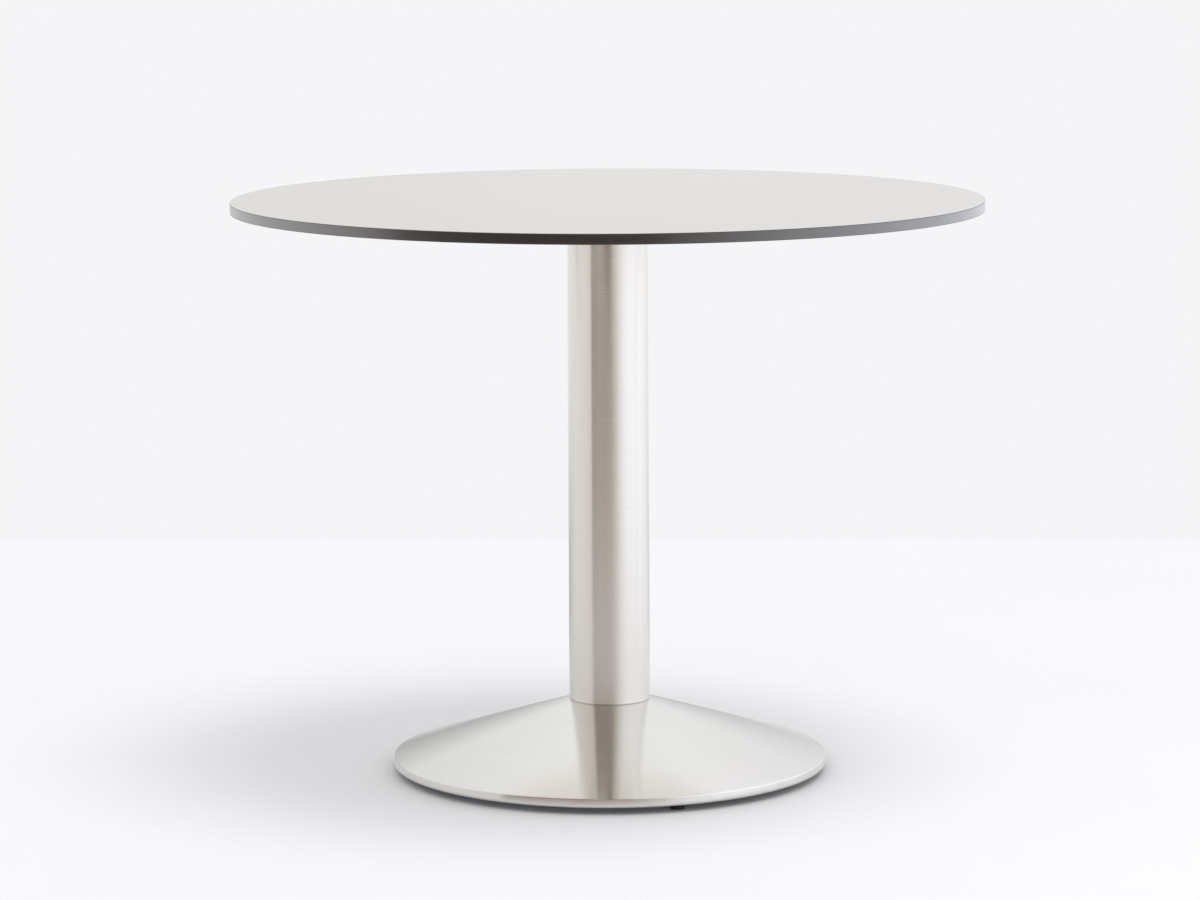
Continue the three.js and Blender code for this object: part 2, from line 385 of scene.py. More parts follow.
# %% Finish: brushed steel, for the column and the cone
BRUSH_LINES_PER_METRE = 2200.0
BRUSH_WAVER = 4.0
FINE_SHARE = 0.6
BROAD_SHARE = 0.4
STEEL_ROUGHNESS_SWING = 0.01
STEEL_SMEAR_ROUGHNESS = 0.01


def brushed_steel(name, across, roughness, bright, shade):
    """across is 'Height' on an upright piece and 'Radius' on a flat or conical one."""
    material, tree, shader = new_finish(
        name, Metallic=1.0, Anisotropic=1.0, Anisotropic_Rotation=0.25,
    )
    spot = spot_on(tree)
    height, flat = split_place(tree, spot)
    measure = height if across == "Height" else radius_of(tree, flat)
    lines = use_effect(
        tree, brushed_lines, Across=measure, Around=flat,
        Lines_Per_Metre=BRUSH_LINES_PER_METRE, Waver=BRUSH_WAVER,
    )
    marks = use_effect(tree, handling, Position=spot, Smear_Size=0.14)
    fine_grain = maths(tree, "MULTIPLY", lines["Line"], FINE_SHARE)
    broad_grain = maths(tree, "MULTIPLY", lines["Band"], BROAD_SHARE)
    grain = maths(tree, "ADD", fine_grain, broad_grain)
    tint = blend_colours(tree, grain, shade, bright)
    tree.links.new(tint, shader.inputs["Base Color"])
    fine = between(tree, grain, roughness - STEEL_ROUGHNESS_SWING, roughness + STEEL_ROUGHNESS_SWING)
    wiped = maths(tree, "MULTIPLY", marks["Smear"], STEEL_SMEAR_ROUGHNESS)
    tree.links.new(maths(tree, "ADD", fine, wiped), shader.inputs["Roughness"])
    tangent = place_node(tree, "ShaderNodeTangent", direction_type="RADIAL", axis="Z")
    tree.links.new(tangent.outputs["Tangent"], shader.inputs["Tangent"])
    print(f"{name}: brushed across its {across.lower()}")
    return material


column_steel = brushed_steel("column_steel", "Height", 0.26, paint(233, 230, 224), paint(229, 226, 219))
cover_steel = brushed_steel("cover_steel", "Radius", 0.13, paint(229, 227, 223), paint(225, 223, 218))

# %% [markdown]
# ## Laminate decor
# The printed sheet is a plain warm light grey under a satin resin film. The pressing plate leaves
# a very fine texture that only dulls the gloss, and wiping leaves a hardly visible smear. The print
# is only skin deep: under it the sheet is pressed from dark paper, so its cut rim is dark.

# %% Finish: grey decor
DECOR = paint(197, 194, 189)
DECOR_SHADE = paint(194, 191, 186)
SHEET_RIM = paint(34, 28, 25)
PRINT_MARGIN = 0.1 * MM
PRINT_BLUR = 0.05 * MM
PRESS_GRAIN = 900.0
PRESS_DEPTH = 0.004 * MM
print_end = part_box("top_decor_sheet")[1].x - PRINT_MARGIN


def laminate_decor():
    material, tree, shader = new_finish("laminate_decor", IOR=1.5)
    spot = spot_on(tree)
    marks = use_effect(tree, handling, Position=spot, Smear_Size=0.09, Speck_Size=0.0016)
    printed = blend_colours(tree, marks["Speck"], DECOR, DECOR_SHADE)
    radius = radius_of(tree, split_place(tree, spot)[1])
    cut = stretch(tree, radius, print_end - PRINT_BLUR, print_end + PRINT_BLUR)
    tone = blend_colours(tree, cut, printed, SHEET_RIM)
    tree.links.new(tone, shader.inputs["Base Color"])
    tree.links.new(between(tree, marks["Smear"], 0.4, 0.42), shader.inputs["Roughness"])
    bump(tree, shader, noise(tree, spot, PRESS_GRAIN), PRESS_DEPTH)
    return material


decor_finish = laminate_decor()
print("decor finish ready")

# %% [markdown]
# ## Compact core
# The core is many brown-black papers pressed in resin. Its cut edge is sanded and polished: nearly
# black, a little brown, with faint lines where the papers lie and a hard gloss over them. Where the
# edge is seen at a slant, a painted sheen, taken from the facing angle, pales its colour towards grey.

# %% Finish: black core
CORE = paint(24, 19, 17)
CORE_PAPER = paint(40, 32, 28)
CORE_PAINTED_SHEEN = paint(88, 87, 88)
PAINTED_SHEEN_SPAN = (0.05, 0.42)
PAPERS_PER_METRE = 2600.0
PAPER_DEPTH = 0.002 * MM


def compact_core():
    material, tree, shader = new_finish("compact_core", IOR=1.95, Coat_Weight=1.0, Coat_Roughness=0.32)
    height, flat = split_place(tree, spot_on(tree))
    papers = use_effect(
        tree, brushed_lines, Across=height, Around=flat, Lines_Per_Metre=PAPERS_PER_METRE, Waver=4.0,
    )
    shade = blend_colours(tree, papers["Line"], CORE, CORE_PAPER)
    # Painted sheen: the edge's colour pales towards grey where it turns away from the camera.
    facing = place_node(tree, "ShaderNodeLayerWeight", {"Blend": 0.5}).outputs["Facing"]
    tone = blend_colours(tree, stretch(tree, facing, *PAINTED_SHEEN_SPAN), shade, CORE_PAINTED_SHEEN)
    tree.links.new(tone, shader.inputs["Base Color"])
    tree.links.new(between(tree, papers["Line"], 0.3, 0.38), shader.inputs["Roughness"])
    bump(tree, shader, papers["Line"], PAPER_DEPTH)
    return material


core_finish = compact_core()
print("core finish ready")

# %% [markdown]
# ## Painted, plated and cast metal
# These finishes sit under the board and under the cone. Powder paint has an orange-peel skin,
# zinc has a soft bluish grain, cast iron is rough from its sand mould, and brass is just bright.

# %% Finish: one recipe for rough metals, each with its own values
DUST_SHARE = 0.25
WEAR_SHARE = 0.6
METAL_ROUGHNESS_SWING = 0.06


def rough_metal(name, base, worn, metallic, roughness, grain_size, grain_depth):
    material, tree, shader = new_finish(name, Metallic=metallic)
    spot = spot_on(tree)
    marks = use_effect(tree, handling, Position=spot, Smear_Size=0.03, Speck_Size=0.002)
    edges = use_effect(tree, worn_edges, Position=spot, Start=WEAR_START)
    dusty = blend_colours(tree, maths(tree, "MULTIPLY", marks["Smear"], DUST_SHARE), base, worn)
    shown = blend_colours(tree, maths(tree, "MULTIPLY", edges["Wear"], WEAR_SHARE), dusty, worn)
    tree.links.new(shown, shader.inputs["Base Color"])
    dull = between(tree, marks["Smear"], roughness - METAL_ROUGHNESS_SWING, roughness + METAL_ROUGHNESS_SWING)
    tree.links.new(dull, shader.inputs["Roughness"])
    bump(tree, shader, noise(tree, spot, 1 / grain_size, detail=3.0), grain_depth)
    print(f"{name}: grain {grain_size / MM:g} mm")
    return material


black_paint = rough_metal(
    "black_paint", paint(34, 35, 38), paint(70, 71, 74), 0.0, 0.45, 0.9 * MM, 0.05 * MM,
)
zinc_plate = rough_metal(
    "zinc_plate", paint(176, 180, 186), paint(208, 209, 210), 1.0, 0.36, 0.5 * MM, 0.01 * MM,
)
cast_iron = rough_metal(
    "cast_iron", paint(52, 53, 56), paint(86, 84, 82), 0.35, 0.68, 1.6 * MM, 0.25 * MM,
)
brass = rough_metal(
    "brass", paint(196, 160, 88), paint(222, 196, 132), 1.0, 0.32, 0.6 * MM, 0.01 * MM,
)

# %% [markdown]
# ## Nylon pads
# The glides are moulded in black nylon: a dull, slightly waxy surface with a fine spark texture
# and a few paler scuffs where they have slid over a floor.

# %% Finish: black nylon
SCUFF_SHARE = 0.3
SPARK_DEPTH = 0.03 * MM


def black_nylon():
    material, tree, shader = new_finish("black_nylon", IOR=1.53)
    spot = spot_on(tree)
    marks = use_effect(tree, handling, Position=spot, Smear_Size=0.006, Speck_Size=0.0007)
    scuffs = maths(tree, "MULTIPLY", marks["Smear"], SCUFF_SHARE)
    scuffed = blend_colours(tree, scuffs, paint(26, 27, 29), paint(60, 60, 61))
    tree.links.new(scuffed, shader.inputs["Base Color"])
    tree.links.new(between(tree, marks["Speck"], 0.5, 0.66), shader.inputs["Roughness"])
    bump(tree, shader, marks["Speck"], SPARK_DEPTH)
    return material


nylon = black_nylon()
print("nylon finish ready")

# %% [markdown]
# ## The board
# Compact board is three plies pressed into one: a black core, a decor sheet on top and a thinner
# backing sheet below. All three are discs, but their rims differ. The top sheet's arris is eased to
# the touch, and the core's edge is sanded flat. A finely stepped turn keeps the long edge round,
# and the pockets for the inserts are cut with a boolean, as a drill would.

# %% Measure the board
sheet_low, sheet_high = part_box("top_decor_sheet")
core_low, core_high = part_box("tabletop_core")
lower_low, lower_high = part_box("underside_decor_sheet")
board_radius = sheet_high.x
BOARD_STEPS = 288
board_thickness = sheet_high.z - lower_low.z
print(f"board: {2 * board_radius / MM:.0f} mm across, {board_thickness / MM:.1f} mm thick")


# %% Cut the insert pockets out of a ply
POCKET_GAP = 0.25 * MM
DRILL_RUN_IN = MM


def cut_pockets(piece, depth_top):
    """Drills the eight pockets, a little wider than the inserts, up to depth_top."""
    bm = bmesh.new()
    for number in screws:
        low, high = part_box(f"threaded_insert_{number}")
        centre = (low + high) / 2
        radius = (high.x - low.x) / 2 + POCKET_GAP
        height = depth_top - lower_low.z + DRILL_RUN_IN
        middle = (depth_top + lower_low.z - DRILL_RUN_IN) / 2
        lift = Matrix.Translation((centre.x, centre.y, middle))
        bmesh.ops.create_cone(
            bm, cap_ends=True, segments=32, radius1=radius, radius2=radius, depth=height, matrix=lift,
        )
    drill = object_from(bm, piece.name + "_drill")
    cut = piece.modifiers.new("pockets", "BOOLEAN")
    cut.operation = "DIFFERENCE"
    cut.solver = "EXACT"
    cut.object = drill
    depsgraph = bpy.context.evaluated_depsgraph_get()
    drilled = bpy.data.meshes.new_from_object(piece.evaluated_get(depsgraph))
    piece.modifiers.clear()
    piece.data = drilled
    bpy.data.objects.remove(drill)
    print(f"{piece.name}: drilled, {len(drilled.polygons)} faces")


# %% Turn the three plies
TOP_EASING = 0.35 * MM
CORE_EASING = 0.15 * MM
UNDER_EASING = 0.12 * MM
POCKET_SPARE = 0.5 * MM


def disc_outline(low, high, easing):
    outline = [(0, low), (board_radius, low), (board_radius, high), (0, high)]
    return eased(outline, easing)


turned(
    "board_top_sheet", disc_outline(sheet_low.z, sheet_high.z, TOP_EASING),
    "top_decor_sheet", decor_finish, steps=BOARD_STEPS, closed=False,
)
board_core = turned(
    "board_core", disc_outline(core_low.z, core_high.z, CORE_EASING),
    "tabletop_core", core_finish, steps=BOARD_STEPS, closed=False,
)
board_under = turned(
    "board_underside_sheet", disc_outline(lower_low.z, lower_high.z, UNDER_EASING),
    "underside_decor_sheet", decor_finish, steps=BOARD_STEPS, closed=False,
)
pocket_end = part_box("threaded_insert_1")[1].z + POCKET_SPARE
cut_pockets(board_core, pocket_end)
cut_pockets(board_under, pocket_end)

# %% [markdown]
# ## The column
# The column is a drawn steel tube, deburred at the top and rounded at the foot, where it sits on
# the cone with a thin dark line. Only the outside shows, but it is a real tube with a wall, because
# the tie rod runs up its middle.

# %% Turn the column tube
tube_low, tube_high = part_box("column_tube")
tube_radius = tube_high.x
TUBE_STEPS = 192
DISC_GAP = 0.4 * MM
FOOT_ROUND = 1.8 * MM
DEBURR = 0.5 * MM
tube_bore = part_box("lower_centring_disc")[1].x + DISC_GAP
foot_at = (tube_radius - FOOT_ROUND, tube_low.z + FOOT_ROUND)
tube_outline = [
    (tube_bore, tube_low.z),
    *arc(foot_at, FOOT_ROUND, -QUARTER_TURN, 0, 8),
    (tube_radius, tube_high.z - DEBURR), (tube_radius - DEBURR, tube_high.z), (tube_bore, tube_high.z),
]
turned("column", tube_outline, "column_tube", column_steel, steps=TUBE_STEPS)
print("column:", round(2 * tube_radius / MM), "mm across,", round((tube_high.z - tube_low.z) / MM), "mm long")

# %% [markdown]
# ## The spun cone
# The cover is one disc of thin steel, spun over a form: a flat seat under the column, a straight
# cone, a tight crease, a short upright rim and an edge curled under. The rim springs back a little
# when it leaves the form, so its top leans in. The outline is drawn once on the outside and once
# inside, a sheet's thickness apart, so the raw edge under the rim is real.

# %% Measure the cone
COVER_STEPS = 288
COVER_SHEET = 1.2 * MM
COVER_HOLE = 20 * MM
CREASE_ROUND = 2.2 * MM
CURL_ROUND = 4 * MM
RIM_HEIGHT = 12 * MM
RIM_LEAN = 0.7 * MM
SEAT_MARGIN = MM
SLOPE = math.radians(17.6)
cover_low, cover_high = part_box("base_cover")
rim_radius = cover_high.x
seat_radius = tube_radius + SEAT_MARGIN
crease_level = cover_low.z + RIM_HEIGHT - CREASE_ROUND * math.cos(SLOPE) + RIM_LEAN * math.tan(SLOPE)
crease_at = (rim_radius - RIM_LEAN - CREASE_ROUND, crease_level)
curl_at = (rim_radius - CURL_ROUND, cover_low.z + CURL_ROUND)
across_rim = crease_at[0] - curl_at[0]
up_rim = crease_at[1] - curl_at[1]
rim_line = math.atan2(up_rim, across_rim)
rim_tilt = rim_line - math.acos((CURL_ROUND - CREASE_ROUND) / math.hypot(across_rim, up_rim))
print("the rim leans in by", round(math.degrees(rim_tilt), 1), "degrees")
print("cone: rim", round(2 * rim_radius / MM), "mm across, seat", round(cover_high.z / MM, 1), "mm up")

# %% Spin the cone
cone_start = QUARTER_TURN - SLOPE
inner_seat_radius = seat_radius - COVER_SHEET * math.tan(SLOPE / 2)
outside = [
    *arc(curl_at, CURL_ROUND, -QUARTER_TURN, rim_tilt, 16),
    *arc(crease_at, CREASE_ROUND, rim_tilt, cone_start, 12),
    (seat_radius, cover_high.z),
    (COVER_HOLE, cover_high.z),
]
inside = [
    (COVER_HOLE, cover_high.z - COVER_SHEET),
    (inner_seat_radius, cover_high.z - COVER_SHEET),
    *arc(crease_at, CREASE_ROUND - COVER_SHEET, cone_start, rim_tilt, 8),
    *arc(curl_at, CURL_ROUND - COVER_SHEET, rim_tilt, -QUARTER_TURN, 9),
]
turned("spun_cover", outside + inside, "base_cover", cover_steel, steps=COVER_STEPS)

# %% [markdown]
# ## The feet
# Each foot is a moulded glide with a socket, and a steel stud that turns in it. The stud's thread
# is cut for real, because it comes into sight when the foot is screwed out.

# %% Where each foot stands
def middle_of(node):
    """The middle of a node's box, seen from above."""
    low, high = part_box(node)
    return (low.x + high.x) / 2, (low.y + high.y) / 2


foot_centres = {number: middle_of(f"levelling_pad_{number}") for number in feet}
for number, centre in foot_centres.items():
    print("foot", number, "at", [round(value / MM) for value in centre], "mm")

# %% Mould the glides
GLIDE_STEPS = 64
pad_low, pad_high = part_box("levelling_pad_1")
pad_radius = (pad_high.x - pad_low.x) / 2
PAD_SHOULDER = 3 * MM
PAD_TOP_RADIUS = 7.5 * MM
PAD_EASING = 0.7 * MM
PAD_SOCKET_RADIUS = 3.4 * MM
PAD_SOCKET_FLOOR = 3 * MM
pad_outline = eased(
    [
        (0, pad_low.z), (pad_radius, pad_low.z), (pad_radius, PAD_SHOULDER),
        (PAD_TOP_RADIUS, pad_high.z), (PAD_SOCKET_RADIUS, pad_high.z), (PAD_SOCKET_RADIUS, PAD_SOCKET_FLOOR),
        (0, PAD_SOCKET_FLOOR),
    ],
    PAD_EASING, steps=5,
)
for number in feet:
    turned(
        f"glide_{number}", pad_outline, f"levelling_pad_{number}", nylon,
        steps=GLIDE_STEPS, closed=False, body=f"foot_{number}", place=foot_centres[number],
    )


# %% Shape a hexagon and a thread
def hex_radius(across_flats, bearing):
    """How far a hexagon's edge is from its centre at a bearing, with a corner at bearing 0."""
    sector = (bearing % (math.pi / 3)) - math.pi / 6
    return across_flats / 2 / math.cos(sector)


LEVELS_PER_PITCH = 6


def thread_outline(bearing, crest, root, low, high, pitch):
    """A threaded length: at each bearing the ridges stand a little higher, so they climb round."""
    points = []
    levels = round((high - low) / pitch * LEVELS_PER_PITCH)
    for level in range(levels + 1):
        height = low + (high - low) * level / levels
        phase = ((height - low) / pitch - bearing / FULL_TURN) % 1
        ridge = 1 - abs(2 * phase - 1)
        ends = min(1, (height - low) / pitch, (high - height) / pitch)
        points.append((root + (crest - root) * ridge * ends, height))
    return points


# %% Turn the studs
CHAMFER_SLOPE = math.tan(math.radians(30))
SMALL_STEPS = 48
THREAD_START = 0.1 * MM
COLLAR_HIGH = 9.7 * MM
COLLAR_THICKNESS = 3 * MM
COLLAR_LOW = COLLAR_HIGH - COLLAR_THICKNESS
COLLAR_FLATS = 13 * MM
COLLAR_CIRCLE = 6.3 * MM
STUD_NECK = 3 * MM
STUD_CREST = 4 * MM
STUD_ROOT = 3.4 * MM
STUD_PITCH = 1.25 * MM
stud_low, stud_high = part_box("levelling_stud_1")


def stud_outline(bearing):
    flats = hex_radius(COLLAR_FLATS, bearing)
    corner = max(flats, COLLAR_CIRCLE)
    drop = max(0, flats - COLLAR_CIRCLE) * CHAMFER_SLOPE
    thread_low = COLLAR_HIGH + THREAD_START
    return [
        (0, stud_low.z), (STUD_NECK, stud_low.z), (STUD_NECK, COLLAR_LOW), (COLLAR_CIRCLE, COLLAR_LOW),
        (corner, COLLAR_LOW + drop), (corner, COLLAR_HIGH - drop), (COLLAR_CIRCLE, COLLAR_HIGH),
        *thread_outline(bearing, STUD_CREST, STUD_ROOT, thread_low, stud_high.z, STUD_PITCH),
        (0, stud_high.z),
    ]


for number in feet:
    piece_from(
        spin(stud_outline, SMALL_STEPS, closed=False), f"stud_{number}", f"stud_{number}",
        f"levelling_stud_{number}", zinc_plate, foot_centres[number],
    )

# %% [markdown]
# ## Screws under the board
# The board hangs on eight button-head screws with a hexagon socket. The head's dome and the
# socket's flats come from the same walk round the axis: the socket just asks for a hexagon.

# %% Turn the button-head screws
screw_low, screw_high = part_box("top_screw_1")
arm_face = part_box("support_arm_1")[0].z
head_radius = (screw_high.y - screw_low.y) / 2
KEY_FLATS = 4 * MM
KEY_DEPTH = 2 * MM
SCREW_SHANK = 2.95 * MM
HEAD_FACE = 3.4 * MM
HEAD_RIM = 0.5 * MM
DOME_STEPS = 6
dome_foot = arm_face - HEAD_RIM


def screw_outline(bearing):
    socket = hex_radius(KEY_FLATS, bearing)
    socket_end = screw_low.z + KEY_DEPTH
    dome = []
    for step in range(DOME_STEPS + 1):
        rise = QUARTER_TURN * step / DOME_STEPS
        radius = HEAD_FACE + (head_radius - HEAD_FACE) * math.sin(rise)
        dome.append((radius, dome_foot - (dome_foot - screw_low.z) * math.cos(rise)))
    return [
        (0, socket_end), (socket, socket_end), (socket, screw_low.z), *dome, (head_radius, arm_face),
        (SCREW_SHANK, arm_face), (SCREW_SHANK, screw_high.z), (0, screw_high.z),
    ]


for number in screws:
    piece_from(
        spin(screw_outline, SMALL_STEPS, closed=False), f"button_screw_{number}", "table",
        f"top_screw_{number}", zinc_plate, middle_of(f"top_screw_{number}"),
    )

# %% [markdown]
# ## Nuts and tie rod
# The tie rod is threaded only at its ends. Its lower nut shows in the hollow of the casting when
# the table is turned over, so it has the chamfered corners that a real nut has.

# %% Turn the nuts
NUT_STEPS = 96
NUT_BORE = 6.15 * MM
NUT_BEVEL = 0.6 * MM
NUT_CIRCLE_SHARE = 0.475


def nut_outline_for(node):
    low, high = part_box(node)
    flats = high.y - low.y
    circle = NUT_CIRCLE_SHARE * flats
    mouth = NUT_BORE + NUT_BEVEL

    def outline(bearing):
        corner = hex_radius(flats, bearing)
        drop = (corner - circle) * CHAMFER_SLOPE
        return [
            (NUT_BORE, low.z + NUT_BEVEL), (mouth, low.z), (circle, low.z), (corner, low.z + drop),
            (corner, high.z - drop), (circle, high.z), (mouth, high.z), (NUT_BORE, high.z - NUT_BEVEL),
        ]

    return outline


for name, node in (("rod_nut_lower", "tie_rod_nut"), ("rod_nut_upper", "anchor_nut")):
    nut = spin(nut_outline_for(node), NUT_STEPS, closed=True)
    piece_from(nut, name, "table", node, zinc_plate)

# %% Turn the tie rod
ROD_STEPS = 32
ROD_CREST = 5.95 * MM
ROD_ROOT = 5.1 * MM
ROD_PITCH = 1.75 * MM
LOWER_THREAD = 45 * MM
UPPER_THREAD = 30 * MM
RUN_OUT = MM
rod_low, rod_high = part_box("tie_rod")
lower_thread_end = rod_low.z + LOWER_THREAD
upper_thread_start = rod_high.z - UPPER_THREAD


def rod_thread(bearing, low, high):
    return thread_outline(bearing, ROD_CREST, ROD_ROOT, low, high, ROD_PITCH)


def rod_outline(bearing):
    return [
        (0, rod_low.z),
        *rod_thread(bearing, rod_low.z + THREAD_START, lower_thread_end),
        (ROD_CREST, lower_thread_end + RUN_OUT), (ROD_CREST, upper_thread_start - RUN_OUT),
        *rod_thread(bearing, upper_thread_start, rod_high.z - THREAD_START),
        (0, rod_high.z),
    ]


rod = spin(rod_outline, ROD_STEPS, closed=False)
piece_from(rod, "rod", "table", "tie_rod", zinc_plate)

# %% [markdown]
# ## Pieces kept from the frame
# The frame under the board, the discs, the casting and the inserts already have their true shape.
# They keep their meshes and get a finish. A weld and a fine bevel, both modifiers, round their
# edges so that they catch the light as sawn or cast edges do.

# %% Finish the kept pieces
WELD_REACH = 0.02 * MM
BEVEL_FROM = math.radians(35)


def keep(node, material, easing):
    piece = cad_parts[node]
    if piece.data.materials:
        piece.material_slots[0].link = "OBJECT"
        piece.material_slots[0].material = material
    else:
        piece.data.materials.append(material)
    weld = piece.modifiers.new("weld", "WELD")
    weld.merge_threshold = WELD_REACH
    ease = piece.modifiers.new("ease", "BEVEL")
    ease.width = easing
    ease.segments = 3
    ease.limit_method = "ANGLE"
    ease.angle_limit = BEVEL_FROM
    ease.harden_normals = True


keep("hub_plate", black_paint, 0.8 * MM)
keep("ballast_plate", cast_iron, 1.2 * MM)
for number in arms:
    keep(f"support_arm_{number}", black_paint, 0.6 * MM)
for node in ("upper_centring_disc", "lower_centring_disc", "tie_rod_washer"):
    keep(node, zinc_plate, 0.4 * MM)
for number in screws:
    keep(f"threaded_insert_{number}", brass, 0.2 * MM)

# %% [markdown]
# ## The studio
# A pale floor runs back a couple of metres and the even white of the room takes over behind it.
# The room lights the table from everywhere. A broad soft light above and a little to the right
# front throws the wide shadow, and a reflector on the floor lights the board from below.

# %% Floor
FLOOR_REACH = 9
FLOOR_BACK = 1.811
FLOOR_SKEW = 0.02895


def pale_floor():
    material, tree, shader = new_finish("pale_floor", IOR=1.3, Roughness=0.7)
    marks = use_effect(tree, handling, Position=spot_on(tree), Smear_Size=0.6, Speck_Size=0.002)
    tone = blend_colours(tree, marks["Smear"], paint(229, 229, 231), paint(228, 228, 230))
    tree.links.new(tone, shader.inputs["Base Color"])
    return material


bm = bmesh.new()
corners = [
    (-FLOOR_REACH, -FLOOR_REACH, 0),
    (FLOOR_REACH, -FLOOR_REACH, 0),
    (FLOOR_REACH, FLOOR_BACK - FLOOR_REACH * FLOOR_SKEW, 0),
    (-FLOOR_REACH, FLOOR_BACK + FLOOR_REACH * FLOOR_SKEW, 0),
]
bm.faces.new([bm.verts.new(corner) for corner in corners])
floor = object_from(bm, "floor")
floor.data.materials.append(pale_floor())
print("floor ends", FLOOR_BACK, "m behind the column")

# %% Room light
world = bpy.data.worlds.new("white_room")
world.use_nodes = True
scene.world = world
room = world.node_tree.nodes["Background"]
room.inputs["Color"].default_value = paint(245, 245, 247)
room.inputs["Strength"].default_value = 1.0
print("room light set")


# %% Soft lights
def place_light(name, kind, place, target, **settings):
    """A light that the camera and glossy surfaces don't see: they show the tent instead."""
    light = bpy.data.lights.new(name, kind)
    for setting, value in settings.items():
        setattr(light, setting, value)
    lamp = bpy.data.objects.new(name, light)
    lamp.location = place
    lamp.rotation_euler = (Vector(target) - Vector(place)).to_track_quat("-Z", "Y").to_euler()
    lamp.visible_camera = False
    lamp.visible_glossy = False
    scene.collection.objects.link(lamp)


place_light(
    "overhead_cloth", "SUN", place=(0.165, -0.11, 1.0), target=(0, 0, 0),
    energy=0.95, angle=math.radians(27),
)
place_light(
    "right_window", "AREA", place=(3.2, -1.0, 1.0), target=(0, 0, 0.7), energy=8,
    shape="RECTANGLE", size=2.2, size_y=1.2,
)
place_light(
    "floor_reflector", "AREA", place=(0, 0, 0.004), target=(0, 0, 1), energy=13,
    shape="RECTANGLE", size=1.6, size_y=1.6,
)

# %% [markdown]
# ## The light tent
# Brushed steel shows whatever stands round it, so a table like this is lit inside a round tent of
# white cloth. An open strip towards the camera leaves the dark band down the column, and the cloth
# on the right is lit harder. The tent's tones are listed by bearing: 0 faces the camera and 90 is
# to the right. The cloth is a little brighter higher up. Its hem is in shade behind the table, most
# of all on the left. Only glossy reflections show the tent.

# %% Hang the tent
TENT_RADIUS = 0.8
TENT_HIGH = 2.4
TENT_PEAK = 1.6
TENT_TONES = [
    (-180, 1.02, 1.04, 1.06),
    (-158, 0.93, 0.94, 0.94),
    (-146, 0.89, 0.90, 0.90),
    (-132, 0.92, 0.93, 0.95),
    (-108, 0.92, 0.93, 0.93),
    (-90, 0.90, 0.90, 0.88),
    (-75, 0.885, 0.86, 0.855),
    (-61, 0.86, 0.81, 0.81),
    (-52, 0.83, 0.77, 0.765),
    (-49.5, 0.80, 0.74, 0.73),
    (-47, 0.37, 0.32, 0.28),
    (-36, 0.37, 0.32, 0.285),
    (-24, 0.435, 0.36, 0.33),
    (-13, 0.395, 0.325, 0.29),
    (-2, 0.43, 0.365, 0.33),
    (10, 0.485, 0.43, 0.39),
    (21, 0.67, 0.65, 0.61),
    (33, 0.98, 0.98, 1.01),
    (46, 1.16, 1.19, 1.26),
    (58, 1.24, 1.27, 1.37),
    (79, 1.26, 1.28, 1.38),
    (86, 1.15, 1.18, 1.28),
    (94, 1.29, 1.32, 1.40),
    (112, 1.16, 1.18, 1.26),
    (126, 1.12, 1.14, 1.21),
    (139, 0.96, 0.97, 1.02),
    (150, 0.98, 0.98, 1.01),
    (166, 0.99, 1.01, 1.03),
]
HEM_SHADE = 0.52
HEM_SHIFT = 0.3
HEM_BEARINGS = (2.1, 2.8)
HEM_LEVELS = (0.06, 0.36)
LIFT_LEVELS = (0.1, 0.9)
LIFT = (0.93, 1.08)


def glowing_cloth(name, strength):
    """A black cloth that only glows, so no light that falls on it shows."""
    material, tree, shader = new_finish(name, Roughness=1.0, Specular_IOR_Level=0.0)
    shader.inputs["Base Color"].default_value = (0, 0, 0, 1)
    shader.inputs["Emission Strength"].default_value = strength
    return material, tree, shader.inputs["Emission Color"]


def tent_cloth():
    material, tree, glow = glowing_cloth("tent_cloth", TENT_PEAK)
    parts = place_node(tree, "ShaderNodeSeparateXYZ", {"Vector": spot_on(tree)}).outputs
    bearing = maths(tree, "ARCTAN2", parts["X"], maths(tree, "MULTIPLY", parts["Y"], -1.0))
    turn = maths(tree, "ADD", maths(tree, "DIVIDE", bearing, FULL_TURN), 0.5)
    ramp = place_node(tree, "ShaderNodeValToRGB", {"Fac": turn})
    stops = ramp.color_ramp.elements
    stops.remove(stops[1])
    for index, (degrees, *tone) in enumerate(TENT_TONES):
        position = degrees / 360 + 0.5
        stop = stops[0] if index == 0 else stops.new(position)
        stop.position = position
        stop.color = (*[channel / TENT_PEAK for channel in tone], 1.0)
    behind_left = maths(tree, "ABSOLUTE", maths(tree, "SUBTRACT", bearing, HEM_SHIFT))
    behind = stretch(tree, behind_left, *HEM_BEARINGS)
    low_down = stretch(tree, parts["Z"], *HEM_LEVELS, 1.0, 0.0)
    hem = maths(tree, "MULTIPLY", behind, low_down)
    shade = [HEM_SHADE / TENT_PEAK] * 3
    cloth = blend_colours(tree, hem, ramp.outputs["Color"], (*shade, 1.0))
    lift = stretch(tree, parts["Z"], *LIFT_LEVELS, *LIFT)
    lit = place_node(tree, "ShaderNodeVectorMath", {0: cloth, "Scale": lift}, operation="SCALE")
    tree.links.new(lit.outputs["Vector"], glow)
    return material


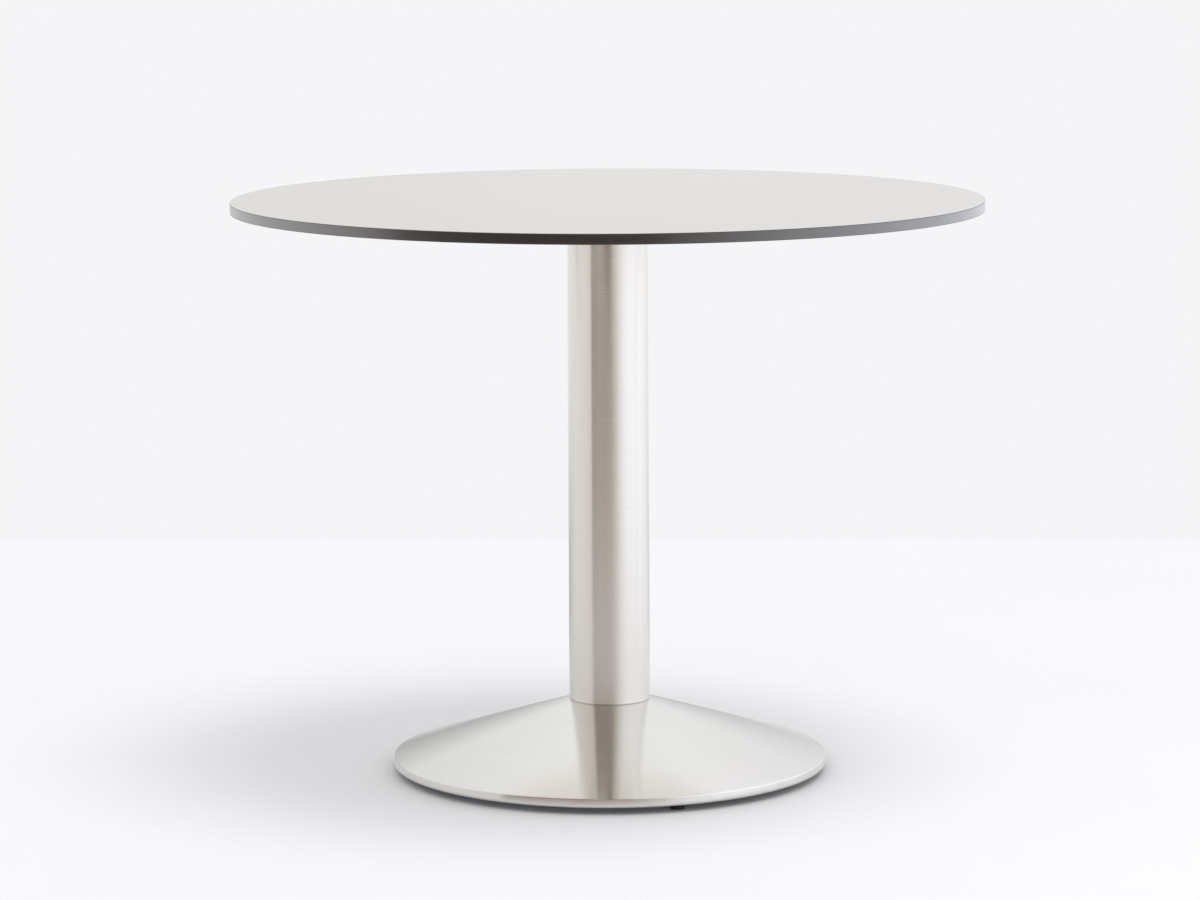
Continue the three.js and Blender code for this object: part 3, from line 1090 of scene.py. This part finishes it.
def hang_cloth(name, material, radius, low, high, start, end, panels):
    """An upright sheet curved round the column from one bearing to another, in degrees."""
    bm = bmesh.new()
    seams = []
    for panel in range(panels + 1):
        bearing = math.radians(start + (end - start) * panel / panels)
        x, y = radius * math.sin(bearing), -radius * math.cos(bearing)
        seams.append((bm.verts.new((x, y, low)), bm.verts.new((x, y, high))))
    for here, after in zip(seams, seams[1:]):
        bm.faces.new([here[0], after[0], after[1], here[1]])
    cloth = object_from(bm, name)
    cloth.data.materials.append(material)
    for ray in ("visible_camera", "visible_diffuse", "visible_shadow", "visible_transmission"):
        setattr(cloth, ray, False)
    print(f"{name}: {high - low:.1f} m high, {radius:g} m from the column")


hang_cloth("light_tent", tent_cloth(), TENT_RADIUS, 0.0, TENT_HIGH, start=-180, end=180, panels=180)

# %% [markdown]
# ## The dark flag
# Above the camera the open strip shows the dark ceiling. The cone mirrors the column, and the
# column that it mirrors shows that ceiling, so the band goes on down the cone, darker still. A
# rail at the board's height keeps the front of the board's edge black.

# %% Hang the dark flag
FLAG_RADIUS = TENT_RADIUS - 0.01
FLAG_TONE = (0.07, 0.062, 0.054, 1.0)
FLAG_THREAD = (0.085, 0.075, 0.066, 1.0)
FLAG_LOW = 0.85
RAIL_LEVELS = (0.65, 0.76)
WEAVE_SCALE = 4.0
open_strip = {"start": -47, "end": 12, "panels": 24}
flag_cloth, tree, glow = glowing_cloth("flag_cloth", 1.0)
weave = noise(tree, spot_on(tree), WEAVE_SCALE)
tree.links.new(blend_colours(tree, weave, FLAG_TONE, FLAG_THREAD), glow)
hang_cloth("dark_flag", flag_cloth, FLAG_RADIUS, FLAG_LOW, TENT_HIGH, **open_strip)
hang_cloth("dark_rail", flag_cloth, FLAG_RADIUS, *RAIL_LEVELS, **open_strip)

# %% [markdown]
# ## The camera
# A long lens from five and a half metres, above the board and aimed slightly down, keeps the column
# almost parallel. The head of the tripod leans by a quarter of a degree.

# %% Set up the camera
CAMERA_DOWN = 0.14338
CAMERA_LEAN = -0.00474
camera_data = bpy.data.cameras.new("camera")
camera_data.sensor_width = 36
camera_data.lens = 131.41
camera = bpy.data.objects.new("camera", camera_data)
camera.location = (-0.0110, -5.5706, 1.2202)
aim = Euler((QUARTER_TURN - CAMERA_DOWN, 0, 0)).to_matrix() @ Matrix.Rotation(CAMERA_LEAN, 3, "Z")
camera.rotation_euler = aim.to_euler()
scene.collection.objects.link(camera)
scene.camera = camera
print("camera", round(camera.location.length, 2), "m from the column's foot")
